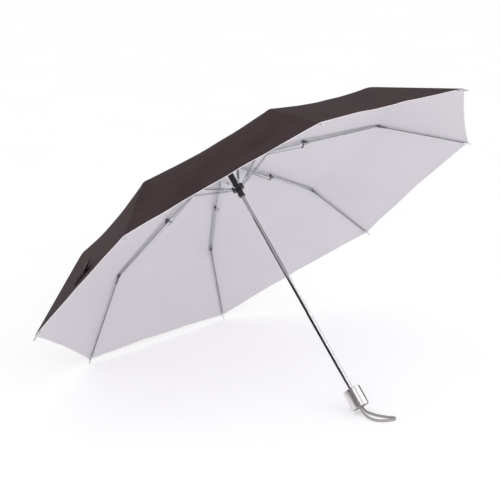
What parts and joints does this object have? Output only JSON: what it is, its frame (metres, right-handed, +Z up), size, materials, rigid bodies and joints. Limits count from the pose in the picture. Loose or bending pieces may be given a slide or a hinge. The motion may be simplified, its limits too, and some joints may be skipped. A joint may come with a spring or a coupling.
{
  "type": "compact folding umbrella",
  "caption": "Three-fold umbrella lying open, with telescopic steel shaft, hinged channel ribs, dark canopy with silver lining, aluminium grip and wrist strap.",
  "frame": {"origin": "middle of the object's base on the floor, as it lies open on its grip's rim and two neighbouring rib tips", "axes": "+Z up from the floor, grip towards -Y, the two rib tips that touch the floor towards +Y, +X across the canopy"},
  "size_m": [0.8988, 0.682, 0.5883],
  "materials": {
    "cloth": "matte plain weave, dark charcoal-brown outside with a pale lavender-silver coated inside",
    "strap_cloth": "woven polyester cord, grey",
    "snap": "satin",
    "black_plastic": "moulded, slightly glossy",
    "rib_steel": "bright zinc plate",
    "shaft_steel": "polished",
    "wire": "plated wire",
    "outer_rod": "plated spring-steel rod",
    "handle_metal": "satin anodised",
    "core_plastic": "matte"
  },
  "bodies": {
    "handle": {"lower_tube": "shaft_steel", "handle_shell": "handle_metal", "handle_core": "core_plastic", "strap_plug": "core_plastic", "wrist_strap": "strap_cloth"},
    "lower_button_body": {"lower_button": "rib_steel"},
    "middle_shaft": {"middle_tube": "shaft_steel"},
    "upper_button_body": {"upper_button": "rib_steel"},
    "upper_shaft": {"upper_tube": "shaft_steel", "crown": "black_plastic", "crown_wire": "wire", "top_cap": "black_plastic", "canopy": "cloth", "tie_strap": "cloth", "tie_snap": "snap"},
    "runner_body": {"runner": "black_plastic", "runner_wire": "wire"},
    "runner_catch_body": {"runner_catch": "rib_steel"},
    "top_rib_1": {"top_rib_1": "rib_steel"},
    "stretcher_1": {"stretcher_1": "rib_steel"},
    "middle_rib_1": {"middle_rib_1": "rib_steel"},
    "outer_rib_1": {"outer_rib_1": "outer_rod"},
    "link_1": {"link_1": "rib_steel"},
    "top_rib_2": {"top_rib_2": "rib_steel"},
    "stretcher_2": {"stretcher_2": "rib_steel"},
    "middle_rib_2": {"middle_rib_2": "rib_steel"},
    "outer_rib_2": {"outer_rib_2": "outer_rod"},
    "link_2": {"link_2": "rib_steel"},
    "top_rib_3": {"top_rib_3": "rib_steel"},
    "stretcher_3": {"stretcher_3": "rib_steel"},
    "middle_rib_3": {"middle_rib_3": "rib_steel"},
    "outer_rib_3": {"outer_rib_3": "outer_rod"},
    "link_3": {"link_3": "rib_steel"},
    "top_rib_4": {"top_rib_4": "rib_steel"},
    "stretcher_4": {"stretcher_4": "rib_steel"},
    "middle_rib_4": {"middle_rib_4": "rib_steel"},
    "outer_rib_4": {"outer_rib_4": "outer_rod"},
    "link_4": {"link_4": "rib_steel"},
    "top_rib_5": {"top_rib_5": "rib_steel"},
    "stretcher_5": {"stretcher_5": "rib_steel"},
    "middle_rib_5": {"middle_rib_5": "rib_steel"},
    "outer_rib_5": {"outer_rib_5": "outer_rod"},
    "link_5": {"link_5": "rib_steel"},
    "top_rib_6": {"top_rib_6": "rib_steel"},
    "stretcher_6": {"stretcher_6": "rib_steel"},
    "middle_rib_6": {"middle_rib_6": "rib_steel"},
    "outer_rib_6": {"outer_rib_6": "outer_rod"},
    "link_6": {"link_6": "rib_steel"},
    "top_rib_7": {"top_rib_7": "rib_steel"},
    "stretcher_7": {"stretcher_7": "rib_steel"},
    "middle_rib_7": {"middle_rib_7": "rib_steel"},
    "outer_rib_7": {"outer_rib_7": "outer_rod"},
    "link_7": {"link_7": "rib_steel"},
    "top_rib_8": {"top_rib_8": "rib_steel"},
    "stretcher_8": {"stretcher_8": "rib_steel"},
    "middle_rib_8": {"middle_rib_8": "rib_steel"},
    "outer_rib_8": {"outer_rib_8": "outer_rod"},
    "link_8": {"link_8": "rib_steel"}
  },
  "joints": [
    {"name": "middle_slide", "type": "slide", "parent": "handle", "child": "middle_shaft", "axis": [0, 0.6526, 0.7577], "range_m": [-0.149, 0]},
    {"name": "upper_slide", "type": "slide", "parent": "middle_shaft", "child": "upper_shaft", "axis": [0, 0.6526, 0.7577], "range_m": [-0.15, 0]},
    {"name": "runner_slide", "type": "slide", "parent": "upper_shaft", "child": "runner_body", "axis": [0, 0.6526, 0.7577], "range_m": [-0.12588, 0], "deforming": ["canopy", "tie_strap", "tie_snap"]},
    {"name": "lower_button_press", "type": "slide", "parent": "handle", "child": "lower_button_body", "axis": [0, 0.7577, -0.6526], "range_m": [0, 0.0005], "stiffness_N_per_m": 800},
    {"name": "upper_button_press", "type": "slide", "parent": "middle_shaft", "child": "upper_button_body", "axis": [0, 0.7577, -0.6526], "range_m": [0, 0.0005], "stiffness_N_per_m": 800},
    {"name": "runner_catch_press", "type": "hinge", "parent": "upper_shaft", "child": "runner_catch_body", "pos_m": [0, 0.01355, 0.31355], "axis": [-1, 0, 0], "range_deg": [0, 0.5], "stiffness_Nm_per_rad": 20},
    {"name": "top_rib_1_hinge", "type": "hinge", "parent": "upper_shaft", "child": "top_rib_1", "pos_m": [0.00739, 0.11242, 0.41976], "axis": [0.3827, -0.7001, 0.6029], "range_deg": [-77.87, 0]},
    {"name": "stretcher_1_hinge", "type": "hinge", "parent": "top_rib_1", "child": "stretcher_1", "pos_m": [0.08766, 0.12848, 0.38746], "axis": [0.3827, -0.7001, 0.6029], "range_deg": [0, 138.75]},
    {"name": "middle_rib_1_hinge", "type": "hinge", "parent": "top_rib_1", "child": "middle_rib_1", "pos_m": [0.15642, 0.14422, 0.3621], "axis": [0.3827, -0.7001, 0.6029], "range_deg": [0, 178.27]},
    {"name": "outer_rib_1_hinge", "type": "hinge", "parent": "middle_rib_1", "child": "outer_rib_1", "pos_m": [0.30358, 0.16752, 0.29574], "axis": [0.3827, -0.7001, 0.6029], "range_deg": [-155.02, 0]},
    {"name": "link_1_hinge", "type": "hinge", "parent": "stretcher_1", "child": "link_1", "pos_m": [0.08191, 0.12459, 0.38659], "axis": [0.3827, -0.7001, 0.6029], "range_deg": [-124.73, 0]},
    {"name": "top_rib_2_hinge", "type": "hinge", "parent": "upper_shaft", "child": "top_rib_2", "pos_m": [0.00306, 0.1157, 0.41694], "axis": [0.9239, -0.29, 0.2497], "range_deg": [-77.87, 0]},
    {"name": "stretcher_2_hinge", "type": "hinge", "parent": "top_rib_2", "child": "stretcher_2", "pos_m": [0.03631, 0.16739, 0.35395], "axis": [0.9239, -0.29, 0.2497], "range_deg": [0, 138.75]},
    {"name": "middle_rib_2_hinge", "type": "hinge", "parent": "top_rib_2", "child": "middle_rib_2", "pos_m": [0.06479, 0.21365, 0.3023], "axis": [0.9239, -0.29, 0.2497], "range_deg": [0, 178.27]},
    {"name": "outer_rib_2_hinge", "type": "hinge", "parent": "middle_rib_2", "child": "outer_rib_2", "pos_m": [0.12575, 0.30227, 0.17969], "axis": [0.9239, -0.29, 0.2497], "range_deg": [-155.02, 0]},
    {"name": "link_2_hinge", "type": "hinge", "parent": "stretcher_2", "child": "link_2", "pos_m": [0.03393, 0.16094, 0.35528], "axis": [0.9239, -0.29, 0.2497], "range_deg": [-124.73, 0]},
    {"name": "top_rib_3_hinge", "type": "hinge", "parent": "upper_shaft", "child": "top_rib_3", "pos_m": [-0.00306, 0.1157, 0.41694], "axis": [0.9239, 0.29, -0.2497], "range_deg": [-77.87, 0]},
    {"name": "stretcher_3_hinge", "type": "hinge", "parent": "top_rib_3", "child": "stretcher_3", "pos_m": [-0.03631, 0.16739, 0.35395], "axis": [0.9239, 0.29, -0.2497], "range_deg": [0, 138.75]},
    {"name": "middle_rib_3_hinge", "type": "hinge", "parent": "top_rib_3", "child": "middle_rib_3", "pos_m": [-0.06479, 0.21365, 0.3023], "axis": [0.9239, 0.29, -0.2497], "range_deg": [0, 178.27]},
    {"name": "outer_rib_3_hinge", "type": "hinge", "parent": "middle_rib_3", "child": "outer_rib_3", "pos_m": [-0.12575, 0.30227, 0.17969], "axis": [0.9239, 0.29, -0.2497], "range_deg": [-155.02, 0]},
    {"name": "link_3_hinge", "type": "hinge", "parent": "stretcher_3", "child": "link_3", "pos_m": [-0.03393, 0.16094, 0.35528], "axis": [0.9239, 0.29, -0.2497], "range_deg": [-124.73, 0]},
    {"name": "top_rib_4_hinge", "type": "hinge", "parent": "upper_shaft", "child": "top_rib_4", "pos_m": [-0.00739, 0.11242, 0.41976], "axis": [0.3827, 0.7001, -0.6029], "range_deg": [-77.87, 0]},
    {"name": "stretcher_4_hinge", "type": "hinge", "parent": "top_rib_4", "child": "stretcher_4", "pos_m": [-0.08766, 0.12848, 0.38746], "axis": [0.3827, 0.7001, -0.6029], "range_deg": [0, 138.75]},
    {"name": "middle_rib_4_hinge", "type": "hinge", "parent": "top_rib_4", "child": "middle_rib_4", "pos_m": [-0.15642, 0.14422, 0.3621], "axis": [0.3827, 0.7001, -0.6029], "range_deg": [0, 178.27]},
    {"name": "outer_rib_4_hinge", "type": "hinge", "parent": "middle_rib_4", "child": "outer_rib_4", "pos_m": [-0.30358, 0.16752, 0.29574], "axis": [0.3827, 0.7001, -0.6029], "range_deg": [-155.02, 0]},
    {"name": "link_4_hinge", "type": "hinge", "parent": "stretcher_4", "child": "link_4", "pos_m": [-0.08191, 0.12459, 0.38659], "axis": [0.3827, 0.7001, -0.6029], "range_deg": [-124.73, 0]},
    {"name": "top_rib_5_hinge", "type": "hinge", "parent": "upper_shaft", "child": "top_rib_5", "pos_m": [-0.00739, 0.10778, 0.42376], "axis": [-0.3827, 0.7001, -0.6029], "range_deg": [-77.87, 0]},
    {"name": "stretcher_5_hinge", "type": "hinge", "parent": "top_rib_5", "child": "stretcher_5", "pos_m": [-0.08766, 0.07346, 0.43485], "axis": [-0.3827, 0.7001, -0.6029], "range_deg": [0, 138.75]},
    {"name": "middle_rib_5_hinge", "type": "hinge", "parent": "top_rib_5", "child": "middle_rib_5", "pos_m": [-0.15642, 0.04604, 0.44665], "axis": [-0.3827, 0.7001, -0.6029], "range_deg": [0, 178.27]},
    {"name": "outer_rib_5_hinge", "type": "hinge", "parent": "middle_rib_5", "child": "outer_rib_5", "pos_m": [-0.30358, -0.02304, 0.45985], "axis": [-0.3827, 0.7001, -0.6029], "range_deg": [-155.02, 0]},
    {"name": "link_5_hinge", "type": "hinge", "parent": "stretcher_5", "child": "link_5", "pos_m": [-0.08191, 0.07317, 0.43087], "axis": [-0.3827, 0.7001, -0.6029], "range_deg": [-124.73, 0]},
    {"name": "top_rib_6_hinge", "type": "hinge", "parent": "upper_shaft", "child": "top_rib_6", "pos_m": [-0.00306, 0.1045, 0.42658], "axis": [-0.9239, 0.29, -0.2497], "range_deg": [-77.87, 0]},
    {"name": "stretcher_6_hinge", "type": "hinge", "parent": "top_rib_6", "child": "stretcher_6", "pos_m": [-0.03631, 0.03455, 0.46836], "axis": [-0.9239, 0.29, -0.2497], "range_deg": [0, 138.75]},
    {"name": "middle_rib_6_hinge", "type": "hinge", "parent": "top_rib_6", "child": "middle_rib_6", "pos_m": [-0.06479, -0.02339, 0.50644], "axis": [-0.9239, 0.29, -0.2497], "range_deg": [0, 178.27]},
    {"name": "outer_rib_6_hinge", "type": "hinge", "parent": "middle_rib_6", "child": "outer_rib_6", "pos_m": [-0.12575, -0.1578, 0.57589], "axis": [-0.9239, 0.29, -0.2497], "range_deg": [-155.02, 0]},
    {"name": "link_6_hinge", "type": "hinge", "parent": "stretcher_6", "child": "link_6", "pos_m": [-0.03393, 0.03681, 0.46218], "axis": [-0.9239, 0.29, -0.2497], "range_deg": [-124.73, 0]},
    {"name": "top_rib_7_hinge", "type": "hinge", "parent": "upper_shaft", "child": "top_rib_7", "pos_m": [0.00306, 0.1045, 0.42658], "axis": [-0.9239, -0.29, 0.2497], "range_deg": [-77.87, 0]},
    {"name": "stretcher_7_hinge", "type": "hinge", "parent": "top_rib_7", "child": "stretcher_7", "pos_m": [0.03631, 0.03455, 0.46836], "axis": [-0.9239, -0.29, 0.2497], "range_deg": [0, 138.75]},
    {"name": "middle_rib_7_hinge", "type": "hinge", "parent": "top_rib_7", "child": "middle_rib_7", "pos_m": [0.06479, -0.02339, 0.50644], "axis": [-0.9239, -0.29, 0.2497], "range_deg": [0, 178.27]},
    {"name": "outer_rib_7_hinge", "type": "hinge", "parent": "middle_rib_7", "child": "outer_rib_7", "pos_m": [0.12575, -0.1578, 0.57589], "axis": [-0.9239, -0.29, 0.2497], "range_deg": [-155.02, 0]},
    {"name": "link_7_hinge", "type": "hinge", "parent": "stretcher_7", "child": "link_7", "pos_m": [0.03393, 0.03681, 0.46218], "axis": [-0.9239, -0.29, 0.2497], "range_deg": [-124.73, 0]},
    {"name": "top_rib_8_hinge", "type": "hinge", "parent": "upper_shaft", "child": "top_rib_8", "pos_m": [0.00739, 0.10778, 0.42376], "axis": [-0.3827, -0.7001, 0.6029], "range_deg": [-77.87, 0]},
    {"name": "stretcher_8_hinge", "type": "hinge", "parent": "top_rib_8", "child": "stretcher_8", "pos_m": [0.08766, 0.07346, 0.43485], "axis": [-0.3827, -0.7001, 0.6029], "range_deg": [0, 138.75]},
    {"name": "middle_rib_8_hinge", "type": "hinge", "parent": "top_rib_8", "child": "middle_rib_8", "pos_m": [0.15642, 0.04604, 0.44665], "axis": [-0.3827, -0.7001, 0.6029], "range_deg": [0, 178.27]},
    {"name": "outer_rib_8_hinge", "type": "hinge", "parent": "middle_rib_8", "child": "outer_rib_8", "pos_m": [0.30358, -0.02304, 0.45985], "axis": [-0.3827, -0.7001, 0.6029], "range_deg": [-155.02, 0]},
    {"name": "link_8_hinge", "type": "hinge", "parent": "stretcher_8", "child": "link_8", "pos_m": [0.08191, 0.07317, 0.43087], "axis": [-0.3827, -0.7001, 0.6029], "range_deg": [-124.73, 0]}
  ],
  "couplings": [
    {"joint": "top_rib_1_hinge", "follows": "runner_slide", "rad_per_m": 10.794},
    {"joint": "stretcher_1_hinge", "follows": "runner_slide", "rad_per_m": -19.234},
    {"joint": "middle_rib_1_hinge", "follows": "runner_slide", "rad_per_m": -24.714},
    {"joint": "outer_rib_1_hinge", "follows": "runner_slide", "rad_per_m": 21.49},
    {"joint": "link_1_hinge", "follows": "runner_slide", "rad_per_m": 17.291},
    {"joint": "top_rib_2_hinge", "follows": "runner_slide", "rad_per_m": 10.794},
    {"joint": "stretcher_2_hinge", "follows": "runner_slide", "rad_per_m": -19.234},
    {"joint": "middle_rib_2_hinge", "follows": "runner_slide", "rad_per_m": -24.714},
    {"joint": "outer_rib_2_hinge", "follows": "runner_slide", "rad_per_m": 21.49},
    {"joint": "link_2_hinge", "follows": "runner_slide", "rad_per_m": 17.291},
    {"joint": "top_rib_3_hinge", "follows": "runner_slide", "rad_per_m": 10.794},
    {"joint": "stretcher_3_hinge", "follows": "runner_slide", "rad_per_m": -19.234},
    {"joint": "middle_rib_3_hinge", "follows": "runner_slide", "rad_per_m": -24.714},
    {"joint": "outer_rib_3_hinge", "follows": "runner_slide", "rad_per_m": 21.49},
    {"joint": "link_3_hinge", "follows": "runner_slide", "rad_per_m": 17.291},
    {"joint": "top_rib_4_hinge", "follows": "runner_slide", "rad_per_m": 10.794},
    {"joint": "stretcher_4_hinge", "follows": "runner_slide", "rad_per_m": -19.234},
    {"joint": "middle_rib_4_hinge", "follows": "runner_slide", "rad_per_m": -24.714},
    {"joint": "outer_rib_4_hinge", "follows": "runner_slide", "rad_per_m": 21.49},
    {"joint": "link_4_hinge", "follows": "runner_slide", "rad_per_m": 17.291},
    {"joint": "top_rib_5_hinge", "follows": "runner_slide", "rad_per_m": 10.794},
    {"joint": "stretcher_5_hinge", "follows": "runner_slide", "rad_per_m": -19.234},
    {"joint": "middle_rib_5_hinge", "follows": "runner_slide", "rad_per_m": -24.714},
    {"joint": "outer_rib_5_hinge", "follows": "runner_slide", "rad_per_m": 21.49},
    {"joint": "link_5_hinge", "follows": "runner_slide", "rad_per_m": 17.291},
    {"joint": "top_rib_6_hinge", "follows": "runner_slide", "rad_per_m": 10.794},
    {"joint": "stretcher_6_hinge", "follows": "runner_slide", "rad_per_m": -19.234},
    {"joint": "middle_rib_6_hinge", "follows": "runner_slide", "rad_per_m": -24.714},
    {"joint": "outer_rib_6_hinge", "follows": "runner_slide", "rad_per_m": 21.49},
    {"joint": "link_6_hinge", "follows": "runner_slide", "rad_per_m": 17.291},
    {"joint": "top_rib_7_hinge", "follows": "runner_slide", "rad_per_m": 10.794},
    {"joint": "stretcher_7_hinge", "follows": "runner_slide", "rad_per_m": -19.234},
    {"joint": "middle_rib_7_hinge", "follows": "runner_slide", "rad_per_m": -24.714},
    {"joint": "outer_rib_7_hinge", "follows": "runner_slide", "rad_per_m": 21.49},
    {"joint": "link_7_hinge", "follows": "runner_slide", "rad_per_m": 17.291},
    {"joint": "top_rib_8_hinge", "follows": "runner_slide", "rad_per_m": 10.794},
    {"joint": "stretcher_8_hinge", "follows": "runner_slide", "rad_per_m": -19.234},
    {"joint": "middle_rib_8_hinge", "follows": "runner_slide", "rad_per_m": -24.714},
    {"joint": "outer_rib_8_hinge", "follows": "runner_slide", "rad_per_m": 21.49},
    {"joint": "link_8_hinge", "follows": "runner_slide", "rad_per_m": 17.291}
  ]
}
